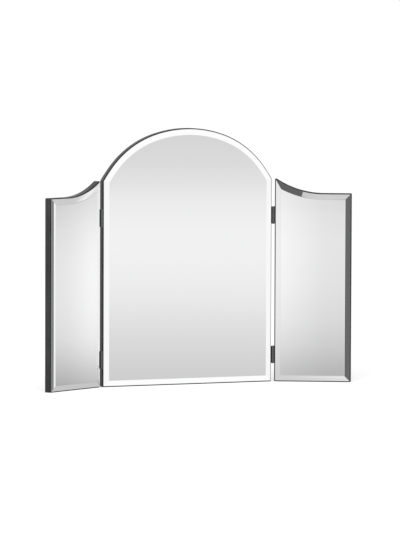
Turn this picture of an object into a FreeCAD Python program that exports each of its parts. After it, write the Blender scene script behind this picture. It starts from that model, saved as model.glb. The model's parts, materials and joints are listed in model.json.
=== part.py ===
import FreeCAD, Part
import math
import os

# A free-standing dressing-table mirror of three hinged panels: a tall arched panel in the middle
# and a narrower wing each side, its top scooped down from the hinges to the outer corner. Each
# panel is a bevelled mirror glass taped to a black-painted board, and two butt hinges join each
# wing to the centre board, their barrels in front, so the wings fold forward over the glass.
#
# Millimetres. +X is to the right as one faces the glass, +Y to the back and +Z up. The origin
# is the middle of the centre board's underside. The wings stand at their resting angle.

# ---- Driving dimensions ---------------------------------------------------------------------

# Panels
overall_height = 610.0       # underside to the crown of the arch
centre_width = 438.0
wing_width = 184.0
wing_angle = 29.0            # how far the wings stand forward of flat, in degrees

# Centre arch: a wide crown arc, and on each side a tighter haunch arc and a flatter shoulder arc
arch_rise = 122.5            # shoulder to crown
crown_turn = 19.0            # degrees turned at the end of the crown arc ...
haunch_turn = 52.0           # ... at the end of the haunch arc ...
shoulder_turn = 58.0         # ... and where the shoulder arc meets the straight side
shoulder_radius = 390.0

# Wing top: a scooped arc from the inner tip that runs out into a level stretch
tip_above_shoulder = 2.0     # inner tip of the wing over the centre's shoulder
scoop_drop = 36.5            # inner tip to the level stretch
scoop_run = 118.0            # inner edge to the end of the arc

# Boards
board_thickness = 15.0
board_corner_radius = 2.5
board_edge_radius = 0.6

# Glass
glass_thickness = 4.0
glass_edge_thickness = 2.0   # what the bevel leaves at the rim
bevel_width = 12.7
glass_margin = 2.4           # board left showing round the glass

# Double-sided foam tape between glass and board, in upright strips
tape_thickness = 0.8
tape_width = 24.0
tape_end_margin = 25.0
centre_tape_strips = 4
wing_tape_strips = 2

# Hinges: plain butt hinges with knuckles rolled from the leaf round a pin
hinge_height = 41.0
upper_hinge_drop = 87.5      # the centre's shoulder to the middle of the upper hinges
lower_hinge_z = 65.0         # underside to the middle of the lower hinges
knuckle_count = 4            # the top one belongs to the wing's leaf
leaf_thickness = 1.5
leaf_back_margin = 1.5       # board edge left bare behind the leaf
leaf_corner_radius = 3.0
pin_diameter = 3.5
pin_head_diameter = 5.0
pin_head_height = 0.7
pin_play = 0.05              # radial, between pin and knuckle
knuckle_play = 0.2           # axial, between neighbouring knuckles
leaf_relief = 0.4            # between a leaf's plate and the other leaf's knuckles

# Countersunk wood screws, in pairs
screw_spacing = 24.0
screw_diameter = 3.0
screw_length = 16.0
screw_point_length = 3.0
screw_head_diameter = 5.8
screw_play = 0.05            # radial, round shank and head
recess_width = 0.8           # cross recess: width of one slot ...
recess_span = 3.2            # ... its length across the head ...
recess_depth = 1.0           # ... and its depth

# ---- Sizes that follow ----------------------------------------------------------------------

board_front = -board_thickness / 2
glass_back = board_front - tape_thickness
barrel_radius = pin_diameter / 2 + leaf_thickness
panel_gap = 2 * barrel_radius
shoulder_height = overall_height - arch_rise
wing_inner_height = shoulder_height + tip_above_shoulder
wing_outer_height = wing_inner_height - scoop_drop
upper_hinge_z = shoulder_height - upper_hinge_drop
pin_x = centre_width / 2 + barrel_radius
pin_y = board_front - barrel_radius
knuckle_pitch = hinge_height / knuckle_count
leaf_depth = board_thickness + barrel_radius - leaf_back_margin

# The crown's and the haunch's radii follow from what the shoulder arc leaves them of the arch's
# half width and rise.
crown_end = math.radians(crown_turn)
haunch_end = math.radians(haunch_turn)
shoulder_end = math.radians(shoulder_turn)
half_width = centre_width / 2
arcs_width = half_width - shoulder_radius * (math.sin(shoulder_end) - math.sin(haunch_end))
arcs_rise = arch_rise - shoulder_radius * (math.cos(haunch_end) - math.cos(shoulder_end))
across = (math.sin(crown_end), math.sin(haunch_end) - math.sin(crown_end))
down = (1 - math.cos(crown_end), math.cos(crown_end) - math.cos(haunch_end))
spread = across[0] * down[1] - across[1] * down[0]
crown_radius = (arcs_width * down[1] - across[1] * arcs_rise) / spread
haunch_radius = (across[0] * arcs_rise - down[0] * arcs_width) / spread
crown_centre_z = overall_height - crown_radius
haunch_centre_x = (crown_radius - haunch_radius) * math.sin(crown_end)
haunch_centre_z = crown_centre_z + (crown_radius - haunch_radius) * math.cos(crown_end)
shoulder_centre_x = haunch_centre_x + (haunch_radius - shoulder_radius) * math.sin(haunch_end)
shoulder_centre_z = haunch_centre_z + (haunch_radius - shoulder_radius) * math.cos(haunch_end)

scoop_radius = (scoop_run ** 2 + scoop_drop ** 2) / (2 * scoop_drop)
scoop_centre_z = wing_outer_height + scoop_radius

same_place = 1e-3            # two places nearer than this are one
smooth_join = math.radians(1)  # an outline that turns by less than this has no corner there

UP = FreeCAD.Vector(0, 0, 1)
ACROSS = FreeCAD.Vector(1, 0, 0)
BACK = FreeCAD.Vector(0, 1, 0)
ORIGIN = FreeCAD.Vector(0, 0, 0)


# ---- Outlines -------------------------------------------------------------------------------
# Each gives the edges of a panel's outline, drawn in by an inset, in the plane at depth y.
# They run the same way round, with the same number of edges at every inset.

def line(start, end):
    return Part.LineSegment(start, end).toShape()


def arc(centre_x, centre_z, radius, from_angle, to_angle, y):
    """An arc whose angles are measured from straight up, towards +X."""
    def at(angle):
        x = centre_x + radius * math.sin(angle)
        return FreeCAD.Vector(x, y, centre_z + radius * math.cos(angle))
    return Part.Arc(at(from_angle), at((from_angle + to_angle) / 2), at(to_angle)).toShape()


def end_points(edge):
    return edge.valueAt(edge.FirstParameter), edge.valueAt(edge.LastParameter)


def centre_outline(inset, y):
    half = half_width - inset
    haunch = haunch_radius - inset
    shoulder = shoulder_radius - inset
    end = math.asin((half - shoulder_centre_x) / shoulder)
    foot_left = FreeCAD.Vector(-half, y, inset)
    foot_right = FreeCAD.Vector(half, y, inset)
    arch = [
        arc(shoulder_centre_x, shoulder_centre_z, shoulder, end, haunch_end, y),
        arc(haunch_centre_x, haunch_centre_z, haunch, haunch_end, crown_end, y),
        arc(0, crown_centre_z, crown_radius - inset, crown_end, -crown_end, y),
        arc(-haunch_centre_x, haunch_centre_z, haunch, -crown_end, -haunch_end, y),
        arc(-shoulder_centre_x, shoulder_centre_z, shoulder, -haunch_end, -end, y),
    ]
    return [
        line(foot_left, foot_right),
        line(foot_right, end_points(arch[0])[0]),
        *arch,
        line(end_points(arch[-1])[1], foot_left),
    ]


def wing_outline(inset, y):
    """The right wing, flat in line with the centre panel."""
    inner = half_width + panel_gap + inset
    outer = half_width + panel_gap + wing_width - inset
    scoop_end = half_width + panel_gap + scoop_run
    radius = scoop_radius + inset
    tip = math.pi + math.asin((scoop_end - inner) / radius)
    scoop = arc(scoop_end, scoop_centre_z, radius, math.pi, tip, y)
    foot_inner = FreeCAD.Vector(inner, y, inset)
    foot_outer = FreeCAD.Vector(outer, y, inset)
    top_outer = FreeCAD.Vector(outer, y, wing_outer_height - inset)
    return [
        line(foot_inner, foot_outer),
        line(foot_outer, top_outer),
        line(top_outer, end_points(scoop)[0]),
        scoop,
        line(end_points(scoop)[1], foot_inner),
    ]


# ---- Panels ---------------------------------------------------------------------------------

def sharp_corners(edges):
    """The places where an outline turns sharply."""
    corners = []
    for before, after in zip(edges, edges[1:] + edges[:1]):
        arriving = before.tangentAt(before.LastParameter)
        leaving = after.tangentAt(after.FirstParameter)
        if arriving.getAngle(leaving) > smooth_join:
            corners.append(end_points(after)[0])
    return corners


def board(outline):
    """A painted board: corners rounded, and the rims of both faces softened."""
    edges = outline(0, board_front)
    slab = Part.Face(Part.Wire(edges)).extrude(BACK * board_thickness)
    corners = sharp_corners(edges)

    def stands_at_corner(edge):
        runs_through = edge.BoundBox.YLength > board_thickness / 2
        front = min(end_points(edge), key=lambda point: point.y)
        return runs_through and any((front - corner).Length < same_place for corner in corners)

    slab = slab.makeFillet(board_corner_radius, [e for e in slab.Edges if stands_at_corner(e)])
    rims = [e for e in slab.Edges if e.BoundBox.YLength < same_place]
    return slab.makeFillet(board_edge_radius, rims)


def bevelled_glass(outline):
    """A pane with an upright rim and a flat bevel all round its front."""
    sections = [
        (glass_margin, glass_back),
        (glass_margin, glass_back - glass_edge_thickness),
        (glass_margin + bevel_width, glass_back - glass_thickness),
    ]
    return Part.makeLoft([Part.Wire(outline(inset, y)) for inset, y in sections], True, True)


def tape_strips(left, right, top, count):
    """Upright strips, evenly spaced between two sides, from near the foot up to a height."""
    pitch = (right - left) / count
    strips = []
    for index in range(count):
        middle = left + (index + 0.5) * pitch
        corner = FreeCAD.Vector(middle - tape_width / 2, glass_back, tape_end_margin)
        strips.append(Part.makeBox(tape_width, tape_thickness, top - tape_end_margin, corner))
    return strips


# ---- Hinges and screws ----------------------------------------------------------------------
# Made for the right side with the wing flat. The pin stands at (pin_x, pin_y).

def tube(outer, inner, bottom, height):
    foot = FreeCAD.Vector(pin_x, pin_y, bottom)
    return Part.makeCylinder(outer, height, foot, UP).cut(Part.makeCylinder(inner, height, foot, UP))


def screw_places(middle_z):
    return [middle_z - screw_spacing / 2, middle_z + screw_spacing / 2]


def screw_body(face_x, z, way, play):
    """A countersunk screw driven along X by way (+1 or -1), its head flush with face_x."""
    axis = ACROSS * way
    shank = screw_diameter / 2 + play
    head = screw_head_diameter / 2 + play
    start = FreeCAD.Vector(face_x, 0, z)
    straight = screw_length - screw_point_length
    body = Part.makeCone(head, shank, head - shank, start, axis)
    body = body.fuse(Part.makeCylinder(shank, straight, start, axis))
    point = Part.makeCone(shank, 0, screw_point_length + play, start + axis * straight, axis)
    return body.fuse(point).removeSplitter()


def screw(face_x, z, way):
    """The screw itself, with a cross recess in its head."""
    solid = screw_body(face_x, z, way, 0)
    low_x = min(face_x, face_x + way * recess_depth)
    for deep, high in ((recess_span, recess_width), (recess_width, recess_span)):
        corner = FreeCAD.Vector(low_x, -deep / 2, z - high / 2)
        solid = solid.cut(Part.makeBox(recess_depth, deep, high, corner))
    return solid


def leaf(middle_z, way):
    """One leaf: way is -1 for the leaf on the centre board and +1 for the wing's."""
    bottom = middle_z - hinge_height / 2
    face = pin_x + way * (barrel_radius - leaf_thickness)
    corner = FreeCAD.Vector(min(face, face + way * leaf_thickness), pin_y, bottom)
    plate = Part.makeBox(leaf_thickness, leaf_depth, hinge_height, corner)
    free_corners = [
        e for e in plate.Edges
        if e.BoundBox.XLength > leaf_thickness / 2 and e.BoundBox.YMin > pin_y + leaf_depth / 2
    ]
    plate = plate.makeFillet(leaf_corner_radius, free_corners)
    own = 1 if way > 0 else 0
    for index in range(knuckle_count):
        low = bottom + index * knuckle_pitch
        if index % 2 == own:
            ring = tube(barrel_radius, pin_diameter / 2 + pin_play, low + knuckle_play / 2,
                        knuckle_pitch - knuckle_play)
            plate = plate.fuse(ring)
        else:
            foot = FreeCAD.Vector(pin_x, pin_y, low - knuckle_play / 2)
            room = Part.makeCylinder(barrel_radius + leaf_relief, knuckle_pitch + knuckle_play, foot, UP)
            plate = plate.cut(room)
    bore = FreeCAD.Vector(pin_x, pin_y, bottom)
    plate = plate.cut(Part.makeCylinder(pin_diameter / 2 + pin_play, hinge_height, bore, UP))
    for z in screw_places(middle_z):
        plate = plate.cut(screw_body(face, z, way, screw_play))
    return plate.removeSplitter()


def pin(middle_z):
    """The hinge pin, with a low domed head closed over the barrel at each end."""
    low = middle_z - hinge_height / 2 - knuckle_play / 2
    length = hinge_height + knuckle_play
    solid = Part.makeCylinder(pin_diameter / 2, length, FreeCAD.Vector(pin_x, pin_y, low), UP)
    rim = pin_head_diameter / 2
    crown = pin_diameter / 2
    for end, outward in ((low, -1), (low + length, 1)):
        place = FreeCAD.Vector(pin_x, pin_y, end)
        solid = solid.fuse(Part.makeCone(rim, crown, pin_head_height, place, UP * outward))
    return solid.removeSplitter()


def drilled(solid, face_x, way):
    """A board with the screws' pilot holes; face_x is where the screws' heads lie."""
    for middle_z in (upper_hinge_z, lower_hinge_z):
        for z in screw_places(middle_z):
            solid = solid.cut(screw_body(face_x, z, way, screw_play))
    return solid


# ---- Placing --------------------------------------------------------------------------------

def folded(shape):
    """Turn something that rides on the right wing from flat to its resting angle."""
    turned = shape.copy()
    turned.rotate(FreeCAD.Vector(pin_x, pin_y, 0), UP, -wing_angle)
    return turned


def on_side(shape, side):
    """Everything is made for the right; the left is its mirror image."""
    return shape if side == "right" else shape.mirror(ORIGIN, ACROSS)


# ---- Assembly -------------------------------------------------------------------------------

parts = {}

centre_face = pin_x - (barrel_radius - leaf_thickness)
wing_face = pin_x + (barrel_radius - leaf_thickness)

centre = drilled(board(centre_outline), centre_face, -1)
centre = on_side(drilled(on_side(centre, "left"), centre_face, -1), "left")
parts["centre_board"] = centre
parts["centre_glass"] = bevelled_glass(centre_outline)
tape_top = shoulder_height - tape_end_margin
tape_half = half_width - glass_margin
parts["centre_tape"] = Part.makeCompound(
    tape_strips(-tape_half, tape_half, tape_top, centre_tape_strips))

wing_board = drilled(board(wing_outline), wing_face, 1)
wing_glass = bevelled_glass(wing_outline)
wing_left_side = half_width + panel_gap + glass_margin
wing_right_side = wing_left_side + wing_width - 2 * glass_margin
wing_tape = Part.makeCompound(
    tape_strips(wing_left_side, wing_right_side, wing_outer_height - tape_end_margin, wing_tape_strips))

for side in ("left", "right"):
    parts[side + "_wing_board"] = on_side(folded(wing_board), side)
    parts[side + "_wing_glass"] = on_side(folded(wing_glass), side)
    parts[side + "_wing_tape"] = on_side(folded(wing_tape), side)
    for level, middle_z in (("upper", upper_hinge_z), ("lower", lower_hinge_z)):
        name = side + "_" + level + "_hinge_"
        centre_screws = Part.makeCompound([screw(centre_face, z, -1) for z in screw_places(middle_z)])
        wing_screws = Part.makeCompound([screw(wing_face, z, 1) for z in screw_places(middle_z)])
        parts[name + "centre_leaf"] = on_side(leaf(middle_z, -1), side)
        parts[name + "wing_leaf"] = on_side(folded(leaf(middle_z, 1)), side)
        parts[name + "pin"] = on_side(pin(middle_z), side)
        parts[name + "centre_screws"] = on_side(centre_screws, side)
        parts[name + "wing_screws"] = on_side(folded(wing_screws), side)

os.makedirs("parts", exist_ok=True)
for name, shape in parts.items():
    if not shape.isValid():
        print("not valid:", name)
    shape.exportStep("parts/" + name + ".step")
    print(name, len(shape.Solids), round(shape.Volume / 1000, 3), "cm3")
print("crown radius", round(crown_radius, 1), "haunch radius", round(haunch_radius, 1),
      "scoop radius", round(scoop_radius, 1))
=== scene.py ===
import json
import math

import bpy
from mathutils import Matrix, Vector

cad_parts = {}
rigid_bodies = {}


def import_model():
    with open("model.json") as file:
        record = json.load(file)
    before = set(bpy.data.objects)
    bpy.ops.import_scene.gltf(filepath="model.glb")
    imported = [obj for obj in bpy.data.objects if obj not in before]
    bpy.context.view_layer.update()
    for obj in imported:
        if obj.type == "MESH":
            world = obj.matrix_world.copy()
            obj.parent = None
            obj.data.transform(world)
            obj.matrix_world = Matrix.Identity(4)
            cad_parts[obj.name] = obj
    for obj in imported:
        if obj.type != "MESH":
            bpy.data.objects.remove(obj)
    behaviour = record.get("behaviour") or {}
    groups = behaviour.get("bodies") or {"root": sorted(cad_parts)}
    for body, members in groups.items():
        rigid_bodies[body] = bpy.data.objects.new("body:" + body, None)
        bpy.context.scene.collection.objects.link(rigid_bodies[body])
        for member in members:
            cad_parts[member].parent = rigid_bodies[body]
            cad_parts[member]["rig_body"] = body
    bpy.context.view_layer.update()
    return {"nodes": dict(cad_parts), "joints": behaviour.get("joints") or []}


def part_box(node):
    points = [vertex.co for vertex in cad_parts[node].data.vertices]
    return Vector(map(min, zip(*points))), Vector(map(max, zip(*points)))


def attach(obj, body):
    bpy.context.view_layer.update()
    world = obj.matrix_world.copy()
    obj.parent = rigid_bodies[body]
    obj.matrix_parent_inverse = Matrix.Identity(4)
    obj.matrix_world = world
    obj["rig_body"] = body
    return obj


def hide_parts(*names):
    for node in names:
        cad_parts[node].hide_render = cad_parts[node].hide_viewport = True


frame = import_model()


# ---- Camera ---------------------------------------------------------------------------------
# A long lens stands ten metres off to the mirror's left, a little above its crown, and looks
# slightly down, so the panels show with hardly any perspective.

image_height = 533
focal_pixels = 4343.27
sensor_side = 36             # millimetres, along the picture's longer side
view_limit = 200             # metres, which takes in the whole floor
camera_place = Vector((-4.1041, -9.4607, 0.9161))
camera_turn = math.radians(-23.633)
camera_tilt = math.radians(-3.526)
camera_roll = math.radians(0.2)

camera = bpy.data.objects.new("camera", bpy.data.cameras.new("camera"))
bpy.context.scene.collection.objects.link(camera)
camera.data.sensor_width = sensor_side
camera.data.lens = focal_pixels * sensor_side / image_height
camera.data.clip_end = view_limit
camera.matrix_world = (
    Matrix.Translation(camera_place)
    @ Matrix.Rotation(camera_turn, 4, "Z")
    @ Matrix.Rotation(math.pi / 2 + camera_tilt, 4, "X")
    @ Matrix.Rotation(camera_roll, 4, "Z")
)
bpy.context.scene.camera = camera


# ---- Boards ---------------------------------------------------------------------------------
# Three fibreboard panels, 15 mm thick, sawn to shape with their corners and rims sanded round,
# then sprayed satin black all over. The glass, the hinges and their screws all fix to them.

paint_colour = (0.022, 0.022, 0.024)
paint_dust_colour = (0.16, 0.155, 0.15)
coat_patch_size = 0.08       # across the soft patches in a coating
sheen_spread = 0.07          # how far those patches move its roughness either way
bump_strength = 0.5
round_angle = math.radians(30)      # a CAD piece's faces shade as one round face up to this turn
merge_distance = 1e-6


def feed(tree, value, socket):
    """Link another node's output to a socket, or set the socket to a plain value."""
    if isinstance(value, bpy.types.NodeSocket):
        tree.links.new(value, socket)
    else:
        socket.default_value = value


def math_node(tree, operation, first, second=0):
    """The result of a Math node on two numbers or outputs."""
    node = tree.nodes.new("ShaderNodeMath")
    node.operation = operation
    feed(tree, first, node.inputs[0])
    feed(tree, second, node.inputs[1])
    return node.outputs[0]


def map_range(tree, value, low, high, to_low=0, to_high=1):
    """Carry the range from low to high over to another one; past its ends the result stays put."""
    node = tree.nodes.new("ShaderNodeMapRange")
    for name, number in (("From Min", low), ("From Max", high), ("To Min", to_low), ("To Max", to_high)):
        node.inputs[name].default_value = number
    tree.links.new(value, node.inputs["Value"])
    return node.outputs["Result"]


def mix_colour(tree, share, first, second, way="MIX"):
    """Two colours mixed; each is a colour, a number for a grey, or another node's output."""
    node = tree.nodes.new("ShaderNodeMix")
    node.data_type = "RGBA"
    node.blend_type = way
    feed(tree, share, node.inputs["Factor"])
    for colour, name in ((first, "A"), (second, "B")):
        if isinstance(colour, (int, float)):
            colour = (colour, colour, colour)
        if isinstance(colour, tuple):
            colour = (*colour, 1)
        feed(tree, colour, node.inputs[name])
    return node.outputs["Result"]


def grain_group():
    """Fine bumps, soft patches and a few specks of dust, at the sizes that a material gives."""
    group = bpy.data.node_groups.new("fine_grain", "ShaderNodeTree")
    inputs = (
        ("Coordinates", "NodeSocketVector"),
        ("Grain Size", "NodeSocketFloat"),
        ("Patch Size", "NodeSocketFloat"),
    )
    for label, kind in inputs:
        group.interface.new_socket(label, in_out="INPUT", socket_type=kind)
    for label in ("Height", "Patches", "Specks"):
        group.interface.new_socket(label, in_out="OUTPUT", socket_type="NodeSocketFloat")
    given = group.nodes.new("NodeGroupInput").outputs
    result = group.nodes.new("NodeGroupOutput").inputs

    def noise_at(size, detail, roughness, distortion=0):
        noise = group.nodes.new("ShaderNodeTexNoise")
        noise.inputs["Detail"].default_value = detail
        noise.inputs["Roughness"].default_value = roughness
        noise.inputs["Distortion"].default_value = distortion
        group.links.new(given["Coordinates"], noise.inputs["Vector"])
        group.links.new(math_node(group, "DIVIDE", 1, given[size]), noise.inputs["Scale"])
        return noise.outputs["Fac"]

    specks = noise_at("Grain Size", detail=1, roughness=0.4, distortion=1.5)
    group.links.new(noise_at("Grain Size", detail=2, roughness=0.5), result["Height"])
    group.links.new(noise_at("Patch Size", detail=4, roughness=0.6), result["Patches"])
    group.links.new(map_range(group, specks, low=0.66, high=0.74), result["Specks"])
    return group


fine_grain = grain_group()


def add_grain(tree, grain_size, patch_size):
    """The shared grain, laid in a piece's own place so that it moves with the piece."""
    place = tree.nodes.new("ShaderNodeTexCoord")
    grain = tree.nodes.new("ShaderNodeGroup")
    grain.node_tree = fine_grain
    grain.inputs["Grain Size"].default_value = grain_size
    grain.inputs["Patch Size"].default_value = patch_size
    tree.links.new(place.outputs["Object"], grain.inputs["Coordinates"])
    return grain.outputs


def coating(name, colour, dust_colour, roughness, grain_size, bump_height, dust, patchiness=0.1):
    """A sprayed coating: fine bumps, colour and sheen that vary in soft patches, and dust specks."""
    material = bpy.data.materials.new(name)
    material.use_nodes = True
    tree = material.node_tree
    shader = tree.nodes["Principled BSDF"]
    grain = add_grain(tree, grain_size, coat_patch_size)

    thin = tuple(channel * (1 + patchiness) for channel in colour)
    thick = tuple(channel * (1 - patchiness) for channel in colour)
    thickness = map_range(tree, grain["Patches"], low=0.35, high=0.65)
    coat = mix_colour(tree, thickness, thin, thick)
    dusty = math_node(tree, "MULTIPLY", grain["Specks"], dust)
    tree.links.new(mix_colour(tree, dusty, coat, dust_colour), shader.inputs["Base Color"])

    sheen = map_range(tree, grain["Patches"], 0, 1, roughness - sheen_spread, roughness + sheen_spread)
    tree.links.new(sheen, shader.inputs["Roughness"])

    bump = tree.nodes.new("ShaderNodeBump")
    bump.inputs["Strength"].default_value = bump_strength
    bump.inputs["Distance"].default_value = bump_height
    tree.links.new(grain["Height"], bump.inputs["Height"])
    tree.links.new(bump.outputs["Normal"], shader.inputs["Normal"])
    return material


def select_only(piece):
    bpy.ops.object.select_all(action="DESELECT")
    bpy.context.view_layer.objects.active = piece
    piece.select_set(True)


def shade(piece, angle, weight):
    """Shade smooth up to an angle, large faces before small ones, which keeps flats flat."""
    bpy.ops.object.shade_smooth_by_angle(angle=angle)
    even = piece.modifiers.new("even", "WEIGHTED_NORMAL")
    even.weight = weight
    even.keep_sharp = True
    bpy.ops.object.modifier_apply(modifier="even")


def finished_copy(node, name, material):
    """The CAD piece with its loose triangles merged, so that its round faces shade as round."""
    source = frame["nodes"][node]
    piece = bpy.data.objects.new(name, source.data.copy())
    bpy.context.scene.collection.objects.link(piece)
    select_only(piece)
    piece.data.materials.clear()
    piece.data.materials.append(material)
    bpy.ops.mesh.customdata_custom_splitnormals_clear()
    bpy.ops.object.mode_set(mode="EDIT")
    bpy.ops.mesh.select_all(action="SELECT")
    bpy.ops.mesh.remove_doubles(threshold=merge_distance)
    bpy.ops.object.mode_set(mode="OBJECT")
    shade(piece, round_angle, weight=50)
    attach(piece, source["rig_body"])
    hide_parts(node)


black_paint = coating(
    "black_paint", paint_colour, paint_dust_colour,
    roughness=0.38, grain_size=0.0016, bump_height=0.00005, dust=0.3, patchiness=0.45,
)
for panel in ("centre", "left_wing", "right_wing"):
    finished_copy(panel + "_board", panel + "_painted_board", black_paint)


# ---- Tape -----------------------------------------------------------------------------------
# White closed-cell foam tape, sticky on both faces, in upright strips 24 mm wide. It beds each
# pane on its board and leaves a thin dark slot round the glass.

foam_colour = (0.78, 0.78, 0.75)
foam_shade = (0.5, 0.5, 0.48)

foam = coating(
    "foam", foam_colour, foam_shade,
    roughness=0.8, grain_size=0.0005, bump_height=0.0001, dust=1,
)
for panel in ("centre", "left_wing", "right_wing"):
    finished_copy(panel + "_tape", panel + "_foam_tape", foam)


# ---- Panes ----------------------------------------------------------------------------------
# Three silvered panes of 4 mm glass, cut to the boards' outlines and 2.4 mm smaller all round,
# with a 12.7 mm bevel ground and polished on their fronts. The tape holds them to the boards.

bevel_width = 0.0127
rim_height = 0.002           # what the bevel leaves of the glass at its edge
hollow_place = 0.0069        # from the pane's edge to the lowest part of the bevel's hollow
bevel_hollow = 0.0001        # how deep the wheel leaves that hollow
bevel_turn = 0.0011          # half width of the polished turn between the flat and the bevel
turn_steps = 8
rim_seam = 0.0003            # taken off the rim's sharp edges
arch_rise = 0.1225
crown_turn = math.radians(19)
haunch_turn = math.radians(52)
shoulder_turn = math.radians(58)
shoulder_radius = 0.39
wing_width = 0.184
wing_angle = math.radians(29)
scoop_run = 0.118
scoop_drop = 0.0365
tip_above_shoulder = 0.002
arc_step = math.radians(1.5)
blank_spare = 0.045          # how far a blank reaches past the straight sides it is cut to
blank_turn = math.radians(68)       # where a blank's shoulders end, past the straight sides too

silver_colour = (0.975, 0.98, 0.977)
smear_colour = (0.8, 0.79, 0.77)
smear_size = 0.06
smear_roughness = 0.03
speck_size = 0.0009
speck_share = 0.03
glass_edge_colour = (0.28, 0.288, 0.285)
glass_dust_colour = (0.6, 0.6, 0.6)
backing_colour = (0.2, 0.19, 0.18)

facing = 0.75                # of 1: a face turned this far to the front or the back belongs to it
flat_angle = math.radians(1.7)      # a sharper turn in the glass shades as an edge
near = 1e-5                  # places this close are one place

board_low, board_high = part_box("centre_board")
pane_low, pane_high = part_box("centre_glass")
glass_margin = pane_low.z - board_low.z
pane_back = pane_high.y
pane_thickness = pane_high.y - pane_low.y
rim_front = pane_back - rim_height
half_width = board_high.x
shoulder_height = board_high.z - arch_rise
right_hinge = next(joint for joint in frame["joints"] if joint["name"] == "right_wing_hinge")
pin_x, pin_y = right_hinge["pos_m"][:2]
wing_left = pin_x + (pin_x - half_width)    # the pin is midway between the two boards' edges


def silvered_glass():
    """Silver behind clear polished glass, with the faintest film of smears and dust."""
    material = bpy.data.materials.new("silvered_glass")
    material.use_nodes = True
    tree = material.node_tree
    shader = tree.nodes["Principled BSDF"]
    shader.inputs["Metallic"].default_value = 1
    grain = add_grain(tree, speck_size, smear_size)
    film = map_range(tree, grain["Patches"], low=0.5, high=0.8, to_high=smear_roughness)
    tree.links.new(film, shader.inputs["Roughness"])
    dust = math_node(tree, "MULTIPLY", grain["Specks"], speck_share)
    tree.links.new(mix_colour(tree, dust, silver_colour, smear_colour), shader.inputs["Base Color"])
    return material


silver = silvered_glass()
glass_edge = coating(
    "glass_edge", glass_edge_colour, glass_dust_colour,
    roughness=0.3, grain_size=0.0004, bump_height=0.00001, dust=0.5,
)
backing_paint = coating(
    "backing_paint", backing_colour, paint_dust_colour,
    roughness=0.6, grain_size=0.001, bump_height=0.00003, dust=0.5,
)


def choose(piece, kind, wanted):
    """Select the points or edges that wanted accepts by their places, in edit mode."""
    bpy.ops.mesh.select_mode(type=kind)
    bpy.ops.mesh.select_all(action="DESELECT")
    bpy.ops.object.mode_set(mode="OBJECT")
    places = [vertex.co for vertex in piece.data.vertices]
    if kind == "VERT":
        for vertex in piece.data.vertices:
            vertex.select = wanted(vertex.co)
    else:
        for edge in piece.data.edges:
            edge.select = all(wanted(places[index]) for index in edge.vertices)
    bpy.ops.object.mode_set(mode="EDIT")


def start_blank(left, right, top):
    """Three sides of an oversize sheet, open at the top, with its top right point selected."""
    bpy.ops.object.select_all(action="DESELECT")
    bpy.ops.mesh.primitive_plane_add(size=1, rotation=(math.pi / 2, 0, 0))
    pane = bpy.context.object
    pane.location = ((left + right) / 2, pane_back, (top - blank_spare) / 2)
    pane.scale = (right - left, top + blank_spare, 1)
    bpy.ops.object.transform_apply(location=True, rotation=True, scale=True)
    bpy.ops.object.mode_set(mode="EDIT")
    bpy.ops.mesh.delete(type="ONLY_FACE")
    choose(pane, "EDGE", lambda place: place.z > 0)
    bpy.ops.mesh.delete(type="EDGE_FACE")
    choose(pane, "VERT", lambda place: place.z > 0 and place.x > (left + right) / 2)
    return pane


def draw_arc(centre_x, centre_z, turn):
    """Carry the selected point round a centre, drawing the arc behind it."""
    steps = math.ceil(abs(turn) / arc_step)
    bpy.ops.mesh.spin(steps=steps, angle=turn, center=(centre_x, pane_back, centre_z), axis=(0, 1, 0))


def cut(place, outward):
    """Cut off all that lies outwards of a plane and close the cut."""
    normal = outward.normalized()
    bpy.ops.mesh.select_all(action="SELECT")
    bpy.ops.mesh.bisect(
        plane_co=place, plane_no=normal, use_fill=True, clear_outer=True, threshold=merge_distance
    )


def grind(pane, left, right):
    """Bevel the blank all round, then cut it to its straight sides and bevel those the same."""
    # the drawn outline becomes a sheet as thick as the rim, and its front is drawn in and forward
    bpy.ops.mesh.select_all(action="SELECT")
    bpy.ops.mesh.remove_doubles(threshold=near)
    bpy.ops.mesh.edge_face_add()
    bpy.ops.mesh.extrude_region_move(TRANSFORM_OT_translate={"value": (0, -rim_height, 0)})
    bpy.ops.mesh.select_all(action="SELECT")
    bpy.ops.mesh.normals_make_consistent(inside=False)
    bpy.ops.mesh.select_mode(type="FACE")
    bpy.ops.mesh.select_all(action="DESELECT")
    bpy.ops.object.mode_set(mode="OBJECT")
    for face in pane.data.polygons:
        face.select = face.normal.y < -facing
    bpy.ops.object.mode_set(mode="EDIT")
    bevel_rise = pane_thickness - rim_height
    bpy.ops.mesh.inset(thickness=bevel_width, depth=bevel_rise, use_even_offset=True)

    # each straight side is cut twice: square through the glass, and at the bevel's slope
    straight_sides = (
        (Vector((left, rim_front, 0)), Vector((-1, 0, 0))),
        (Vector((right, rim_front, 0)), Vector((1, 0, 0))),
        (Vector((0, rim_front, glass_margin)), Vector((0, 0, -1))),
    )
    for place, outward in straight_sides:
        cut(place, outward)
        cut(place, outward * bevel_rise + Vector((0, -bevel_width, 0)))

    # the wheel's hollow along the bevel, the polished turn at the flat, and the rim's seams
    hollow = rim_front - hollow_place * bevel_rise / bevel_width
    bpy.ops.mesh.select_all(action="SELECT")
    bpy.ops.mesh.bisect(plane_co=(0, hollow, 0), plane_no=(0, 1, 0), threshold=merge_distance)
    choose(pane, "VERT", lambda place: abs(place.y - hollow) < near)
    bpy.ops.transform.translate(value=(0, bevel_hollow, 0))
    front = pane_back - pane_thickness
    choose(pane, "EDGE", lambda place: abs(place.y - front) < near)
    bpy.ops.mesh.bevel(offset=bevel_turn, segments=turn_steps)
    for level in (pane_back, rim_front):
        choose(pane, "EDGE", lambda place: abs(place.y - level) < near)
        bpy.ops.mesh.bevel(offset=rim_seam, segments=1)
    bpy.ops.object.mode_set(mode="OBJECT")


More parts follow.
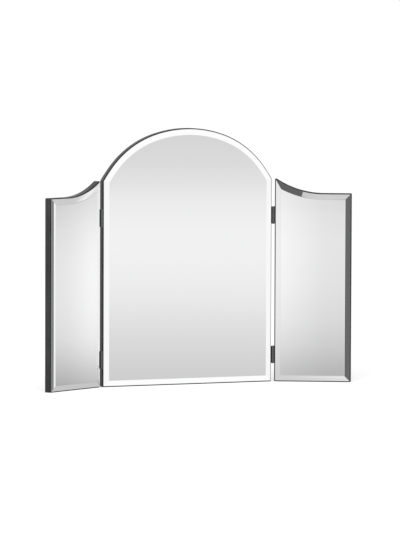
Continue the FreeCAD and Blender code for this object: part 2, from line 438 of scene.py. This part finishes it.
def back_pane(pane):
    """Silver the front, leave the rim clear, paint the back, and keep the flat's shading flat."""
    for material in (glass_edge, silver, backing_paint):
        pane.data.materials.append(material)
    for face in pane.data.polygons:
        if face.normal.y < -facing:
            face.material_index = 1
        elif face.normal.y > facing:
            face.material_index = 2
    select_only(pane)
    shade(pane, flat_angle, weight=100)


def hand_over(pane, name, body, node):
    """Name a finished pane and let it stand for its CAD piece on its panel."""
    pane.name = name
    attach(pane, body)
    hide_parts(node)


# The arch is three arcs a side: crown, haunch and shoulder. The first two arcs' radii follow from
# their turns and from the width and rise that the shoulder leaves them.
arcs_width = half_width - shoulder_radius * (math.sin(shoulder_turn) - math.sin(haunch_turn))
arcs_rise = arch_rise - shoulder_radius * (math.cos(haunch_turn) - math.cos(shoulder_turn))
across = (math.sin(crown_turn), math.sin(haunch_turn) - math.sin(crown_turn))
down = (1 - math.cos(crown_turn), math.cos(crown_turn) - math.cos(haunch_turn))
spread = across[0] * down[1] - across[1] * down[0]
crown_radius = (arcs_width * down[1] - across[1] * arcs_rise) / spread
haunch_radius = (across[0] * arcs_rise - down[0] * arcs_width) / spread
crown_z = board_high.z - crown_radius
haunch_x = (crown_radius - haunch_radius) * math.sin(crown_turn)
haunch_z = crown_z + (crown_radius - haunch_radius) * math.cos(crown_turn)
shoulder_x = haunch_x + (haunch_radius - shoulder_radius) * math.sin(haunch_turn)
shoulder_z = haunch_z + (haunch_radius - shoulder_radius) * math.cos(haunch_turn)
pane_shoulder = shoulder_radius - glass_margin
blank_half = shoulder_x + pane_shoulder * math.sin(blank_turn)
pane_half = half_width - glass_margin

centre_pane = start_blank(-blank_half, blank_half, shoulder_z + pane_shoulder * math.cos(blank_turn))
draw_arc(shoulder_x, shoulder_z, blank_turn - haunch_turn)
draw_arc(haunch_x, haunch_z, haunch_turn - crown_turn)
draw_arc(0, crown_z, 2 * crown_turn)
draw_arc(-haunch_x, haunch_z, haunch_turn - crown_turn)
draw_arc(-shoulder_x, shoulder_z, blank_turn - haunch_turn)
grind(centre_pane, -pane_half, pane_half)
back_pane(centre_pane)
hand_over(centre_pane, "centre_pane", "centre_panel", "centre_glass")

# The right wing is made unfolded: a level top, then the scoop's arc up to its tip by the centre.
wing_inner = wing_left + glass_margin
wing_outer = wing_left + wing_width - glass_margin
scoop_end = wing_left + scoop_run
level_top = shoulder_height + tip_above_shoulder - scoop_drop - glass_margin
scoop_radius = (scoop_run ** 2 + scoop_drop ** 2) / (2 * scoop_drop) + glass_margin
blank_left = wing_left - blank_spare
blank_right = wing_outer + blank_spare
scoop_turn = math.asin((scoop_end - blank_left) / scoop_radius)
blank_rise = scoop_radius * (1 - math.cos(scoop_turn))

right_pane = start_blank(blank_left, blank_right, level_top)
bpy.ops.mesh.extrude_region_move(TRANSFORM_OT_translate={"value": (scoop_end - blank_right, 0, 0)})
draw_arc(scoop_end, level_top + scoop_radius, -scoop_turn)
choose(
    right_pane, "VERT",
    lambda place: abs(place.x - blank_left) < near and abs(place.z - level_top) < near,
)
bpy.ops.transform.translate(value=(0, 0, blank_rise))
grind(right_pane, wing_inner, wing_outer)

# The left wing's pane is the right one's mirror image.
left_pane = bpy.data.objects.new("left_wing_pane", right_pane.data.copy())
bpy.context.scene.collection.objects.link(left_pane)
select_only(left_pane)
left_pane.scale.x = -1
bpy.ops.object.transform_apply(location=True, rotation=True, scale=True)
bpy.ops.object.mode_set(mode="EDIT")
bpy.ops.mesh.select_all(action="SELECT")
bpy.ops.mesh.normals_make_consistent(inside=False)
bpy.ops.object.mode_set(mode="OBJECT")

for pane, side, way in ((right_pane, "right", 1), (left_pane, "left", -1)):
    back_pane(pane)
    hinge_line = Vector((way * pin_x, pin_y, 0))
    pane.matrix_world = (
        Matrix.Translation(hinge_line)
        @ Matrix.Rotation(-way * wing_angle, 4, "Z")
        @ Matrix.Translation(-hinge_line)
    )
    bpy.ops.object.transform_apply(location=True, rotation=True, scale=True)
    hand_over(pane, side + "_wing_pane", side + "_wing", side + "_wing_glass")


# ---- Hinges ---------------------------------------------------------------------------------
# Four butt hinges of 1.5 mm steel, blackened and oiled. Each leaf is rolled into knuckles round a
# steel pin, lies on the edge of its board and is held by two countersunk cross-head screws.

hinge_colour = (0.13, 0.13, 0.135)
screw_colour = (0.07, 0.07, 0.073)
steel_metallic = 0.8

hinge_black = coating(
    "hinge_black", hinge_colour, paint_dust_colour,
    roughness=0.32, grain_size=0.0006, bump_height=0.00001, dust=0.2,
)
screw_black = coating(
    "screw_black", screw_colour, paint_dust_colour,
    roughness=0.3, grain_size=0.0004, bump_height=0.00001, dust=0.1,
)
for steel in (hinge_black, screw_black):
    steel.node_tree.nodes["Principled BSDF"].inputs["Metallic"].default_value = steel_metallic

for side in ("left", "right"):
    for level in ("upper", "lower"):
        hinge = side + "_" + level + "_hinge_"
        for leaf in ("centre", "wing"):
            part = hinge + leaf
            finished_copy(part + "_leaf", part + "_coated_leaf", hinge_black)
            finished_copy(part + "_screws", part + "_black_screws", screw_black)
        finished_copy(hinge + "pin", hinge + "coated_pin", hinge_black)


# ---- Floor and light ------------------------------------------------------------------------
# A plain white floor under soft light, inside a ball of pale card that only the glass and the
# gloss of the paint can see. The card's soft bands, its two narrow dark gaps and a glint are
# painted light and painted shade: the card glows with them itself, and no lamp lights it. Through
# a slit in it the right wing's outer bevel catches a dark flag further off, of painted shade too.

floor_size = 120
floor_colour = 0.8
floor_glow = 0.42                   # the floor's own light, for the eye alone
ball_radius = 3.0
band_low, band_high = -0.3, 0.65    # heights between which the card's middle band is shaded
band_end = 0.78                     # past this height, up or down, the outer bands begin
band_fade = 0.18
plain_start, plain_full = 1.5, 2.0  # heights, up or down, over which the bands give way to plain card
plain_tone = 0.92
side_left, side_right = 57.6, 68.4  # degrees: the left side's shading turns into the right side's
gap_left, gap_right = -23.62, -16.2     # degrees: a dark gap in the upper outer band
gap_fade = 0.1
gap_rise = 0.1                      # the height over which the gap comes in above the floor
gap_tone = 0.12
slant_height = 1.134                # the outer bands slant, turning about this height ...
band_slant = 6.4                    # ... by these degrees a metre
slit_left, slit_right = -9.9, -4.2  # degrees: a slit in the middle band, with a dark flag behind
slit_fade = 0.3
flag_place = Vector((-1.11, -6, 0))
flag_width, flag_height = 0.7, 2.4
# the flag's glow is painted shade, seen by the gloss alone
flag_painted_shade_tone = 0.14
world_light = 0.75                  # on the object; the eye and the gloss meet a plain white
lamp_place = Vector((-1.2, -1.6, 2.2))
lamp_aim = Vector((0, 0, 0.3))
lamp_width = 1.6
lamp_power = 18
most_reflections = 16               # closed, the wings' glass and the centre's reflect each other


def floor_material():
    """White paper: lit, with a little light of its own for the eye so that it renders white."""
    material = bpy.data.materials.new("white_floor")
    material.use_nodes = True
    tree = material.node_tree
    tree.nodes.remove(tree.nodes["Principled BSDF"])
    paper = tree.nodes.new("ShaderNodeBsdfDiffuse")
    paper.inputs["Color"].default_value = (floor_colour, floor_colour, floor_colour, 1)
    path = tree.nodes.new("ShaderNodeLightPath")
    glow = tree.nodes.new("ShaderNodeEmission")
    seen = math_node(tree, "MULTIPLY", path.outputs["Is Camera Ray"], floor_glow)
    tree.links.new(seen, glow.inputs["Strength"])
    both = tree.nodes.new("ShaderNodeAddShader")
    tree.links.new(paper.outputs[0], both.inputs[0])
    tree.links.new(glow.outputs[0], both.inputs[1])
    tree.links.new(both.outputs[0], tree.nodes["Material Output"].inputs["Surface"])
    return material


bpy.ops.object.select_all(action="DESELECT")
bpy.ops.mesh.primitive_plane_add(size=floor_size)
floor = bpy.context.object
floor.name = "floor"
floor.visible_glossy = False
floor.data.materials.append(floor_material())


def as_turn(azimuth):
    """Degrees from straight in front, to the right, as a share of a whole turn from the back."""
    return (azimuth + 180) / 360


def at_azimuth(stops):
    return [(as_turn(azimuth), *tones) for azimuth, *tones in stops]


def at_height(stops):
    return [((height - band_low) / (band_high - band_low), *tones) for height, *tones in stops]


def ramp(tree, value, stops):
    """Tones along a value; each stop is a place from 0 to 1 with one grey or three channels."""
    node = tree.nodes.new("ShaderNodeValToRGB")
    points = node.color_ramp.elements
    for index, (position, *tones) in enumerate(stops):
        if index == 0:
            point = points[0]
        elif index == len(stops) - 1:
            point = points[len(points) - 1]
        else:
            point = points.new(position)
        point.position = position
        point.color = (*tones, 1) if len(tones) == 3 else (*tones * 3, 1)
    tree.links.new(value, node.inputs[0])
    return node.outputs[0]


def strip(tree, turn, left, right, fade):
    """1 between two azimuths and 0 outside them; its edges can be sharper than a ramp's."""
    rise = map_range(tree, turn, as_turn(left), as_turn(left + fade))
    fall = map_range(tree, turn, as_turn(right), as_turn(right - fade))
    return math_node(tree, "MULTIPLY", rise, fall)


def middle_band(tree, turn, height):
    """The band level with the mirror: azimuth sets its brightness and how that goes with height."""
    # azimuth: brightness, share of the middle's own rise, share of no rise at all
    tones = tree.nodes.new("ShaderNodeSeparateColor")
    tree.links.new(ramp(tree, turn, at_azimuth((
        (-180, 0.55, 0, 0.5), (-150, 0.65, 0, 0.5), (-115, 0.85, 0, 0.5), (-60, 0.87, 0, 0.3),
        (-46, 0.88, 0, 0.4), (-41, 0.78, 0, 0.35), (-34, 1, 0, 0), (-29, 0.955, 0, 0),
        (-27.4, 0.82, 0, 0), (-25.5, 0.785, 0, 0), (-12, 0.9, 0, 0.3), (-10, 0.92, 0, 0.5),
        (-9, 0.97, 0, 1), (11, 0.96, 0, 1), (16, 1, 1, 0), (31, 1, 1, 0), (37, 0.97, 0, 1),
        (56.4, 0.95, 0, 0.9), (57.3, 0.22, 0, 1), (59.6, 0.22, 0, 1), (60.5, 0.95, 0, 0.8),
        (75.5, 0.76, 0, 0), (76.9, 0.8, 0, 0), (77.9, 0.87, 0, 0), (79, 0.97, 0, 0),
        (88, 1, 0, 0), (95, 0.76, 0, 1), (103, 0.76, 0, 1), (112, 0.85, 0, 0.5),
        (150, 0.65, 0, 0.5), (180, 0.55, 0, 0.5),
    ))), tones.inputs[0])
    level, middle, even = tones.outputs[:3]

    # height: brightness
    lift = map_range(tree, height, band_low, band_high)
    left_rise = ramp(tree, lift, at_height((
        (-0.3, 0.55), (-0.24, 0.605), (-0.208, 0.675), (-0.158, 0.775), (-0.083, 0.885),
        (-0.02, 0.935), (0.04, 0.975), (0.11, 0.995), (0.166, 1), (0.244, 0.965), (0.27, 0.93),
        (0.4, 0.85), (0.65, 0.8),
    )))
    middle_rise = ramp(tree, lift, at_height((
        (-0.3, 0.6), (-0.22, 0.645), (-0.13, 0.715), (-0.07, 0.768), (-0.02, 0.82), (0.06, 0.872),
        (0.15, 0.9), (0.21, 0.898), (0.3, 0.85), (0.35, 0.785), (0.42, 0.715), (0.5, 0.68),
        (0.65, 0.66),
    )))
    right_rise = ramp(tree, lift, at_height((
        (-0.3, 0.47), (-0.264, 0.585), (-0.233, 0.665), (-0.187, 0.79), (-0.14, 0.89),
        (-0.078, 0.95), (-0.016, 0.98), (0.046, 0.99), (0.108, 0.98), (0.154, 0.957), (0.2, 0.92),
        (0.248, 0.862), (0.28, 0.81), (0.35, 0.75), (0.65, 0.6),
    )))
    to_right = map_range(tree, turn, as_turn(side_left), as_turn(side_right))
    side_rise = mix_colour(tree, to_right, left_rise, right_rise)
    rise = mix_colour(tree, even, mix_colour(tree, middle, side_rise, middle_rise), 1)
    return mix_colour(tree, 1, rise, level, way="MULTIPLY")


def outer_bands(tree, turn, height):
    """The bands over and under the middle one, which slant; the upper one has a dark gap."""
    climb = math_node(tree, "SUBTRACT", height, slant_height)
    slanted = math_node(tree, "ADD", turn, math_node(tree, "MULTIPLY", climb, -band_slant / 360))
    tones = ramp(tree, slanted, at_azimuth((
        (-180, 0.85), (-60, 0.85), (-40, 0.75), (-26.4, 0.64), (-23.8, 0.6), (-15.9, 0.66),
        (-14.7, 0.64), (-12.8, 0.67), (-10.7, 0.77), (-5, 0.95), (2, 1), (50, 1), (66, 0.85),
        (72.2, 0.74), (74.3, 0.88), (75.2, 0.97), (76, 0.8), (77, 0.65), (79.5, 0.6), (91, 0.57),
        (97, 0.57), (105, 0.75), (180, 0.85),
    )))
    gap = strip(tree, slanted, gap_left, gap_right, gap_fade)
    upper_gap = math_node(tree, "MULTIPLY", gap, map_range(tree, height, 0, gap_rise))
    return mix_colour(tree, upper_gap, tones, gap_tone)


def unlit_material(name):
    """A material with no shader yet, whose glow will not count as a lamp on the object."""
    material = bpy.data.materials.new(name)
    material.use_nodes = True
    material.cycles.emission_sampling = "NONE"
    material.node_tree.nodes.remove(material.node_tree.nodes["Principled BSDF"])
    return material


def painted_light_card():
    """The card's glow of painted light: bands by azimuth and height, and the slit cut through the middle
    one.
    """
    material = unlit_material("card_of_painted_light")
    tree = material.node_tree
    place = tree.nodes.new("ShaderNodeTexCoord")
    split = tree.nodes.new("ShaderNodeSeparateXYZ")
    tree.links.new(place.outputs["Object"], split.inputs[0])
    height = split.outputs["Z"]
    forward = math_node(tree, "MULTIPLY", split.outputs["Y"], -1)
    bearing = math_node(tree, "ARCTAN2", split.outputs["X"], forward)
    turn = math_node(tree, "ADD", math_node(tree, "DIVIDE", bearing, 2 * math.pi), 0.5)

    off_level = math_node(tree, "ABSOLUTE", height)
    past_band = map_range(tree, off_level, band_end - band_fade, band_end)
    banded = mix_colour(tree, past_band, middle_band(tree, turn, height), outer_bands(tree, turn, height))
    past_all = map_range(tree, off_level, plain_start, plain_full)
    glow = tree.nodes.new("ShaderNodeEmission")
    tree.links.new(mix_colour(tree, past_all, banded, plain_tone), glow.inputs["Color"])

    slit = strip(tree, turn, slit_left, slit_right, slit_fade)
    slit_in_band = math_node(tree, "MULTIPLY", slit, math_node(tree, "SUBTRACT", 1, past_band))
    clear = tree.nodes.new("ShaderNodeBsdfTransparent")
    cut_out = tree.nodes.new("ShaderNodeMixShader")
    tree.links.new(slit_in_band, cut_out.inputs["Fac"])
    tree.links.new(glow.outputs[0], cut_out.inputs[1])
    tree.links.new(clear.outputs[0], cut_out.inputs[2])
    tree.links.new(cut_out.outputs[0], tree.nodes["Material Output"].inputs["Surface"])
    return material


def flag_material():
    # painted shade: the flag glows a dim grey of its own, seen by the gloss alone, so that the right
    # wing's outer bevel shows dark
    material = unlit_material("flag_of_painted_shade")
    tree = material.node_tree
    glow = tree.nodes.new("ShaderNodeEmission")
    glow.inputs["Color"].default_value = (flag_painted_shade_tone, flag_painted_shade_tone, flag_painted_shade_tone, 1)
    tree.links.new(glow.outputs[0], tree.nodes["Material Output"].inputs["Surface"])
    return material


def show_only_in_gloss(thing):
    thing.visible_camera = False
    thing.visible_diffuse = False
    thing.visible_transmission = False
    thing.visible_shadow = False


bpy.ops.object.select_all(action="DESELECT")
bpy.ops.mesh.primitive_uv_sphere_add(segments=96, ring_count=48, radius=ball_radius)
ball = bpy.context.object
ball.name = "ball_of_painted_light"
ball.data.materials.append(painted_light_card())
show_only_in_gloss(ball)

bpy.ops.object.select_all(action="DESELECT")
bpy.ops.mesh.primitive_plane_add(size=1, rotation=(math.pi / 2, 0, 0))
flag = bpy.context.object
flag.name = "dark_flag"
flag.location = flag_place
flag.scale = (flag_width, flag_height, 1)
bpy.ops.object.transform_apply(location=True, rotation=True, scale=True)
flag.data.materials.append(flag_material())
show_only_in_gloss(flag)

world = bpy.data.worlds.new("world")
world.use_nodes = True
sky = world.node_tree
path = sky.nodes.new("ShaderNodeLightPath")
seen = math_node(sky, "MAXIMUM", path.outputs["Is Camera Ray"], path.outputs["Is Glossy Ray"])
background = sky.nodes["Background"]
background.inputs["Color"].default_value = (1, 1, 1, 1)
sky.links.new(map_range(sky, seen, 0, 1, world_light, 1), background.inputs["Strength"])
bpy.context.scene.world = world
bpy.context.scene.view_settings.view_transform = "Standard"
bpy.context.scene.cycles.max_bounces = most_reflections
bpy.context.scene.cycles.glossy_bounces = most_reflections

lamp = bpy.data.objects.new("softbox", bpy.data.lights.new("softbox", "AREA"))
bpy.context.scene.collection.objects.link(lamp)
lamp.data.shape = "DISK"
lamp.data.size = lamp_width
lamp.data.energy = lamp_power
lamp.location = lamp_place
lamp.rotation_euler = (lamp_aim - lamp_place).to_track_quat("-Z", "Y").to_euler()
lamp.visible_glossy = False
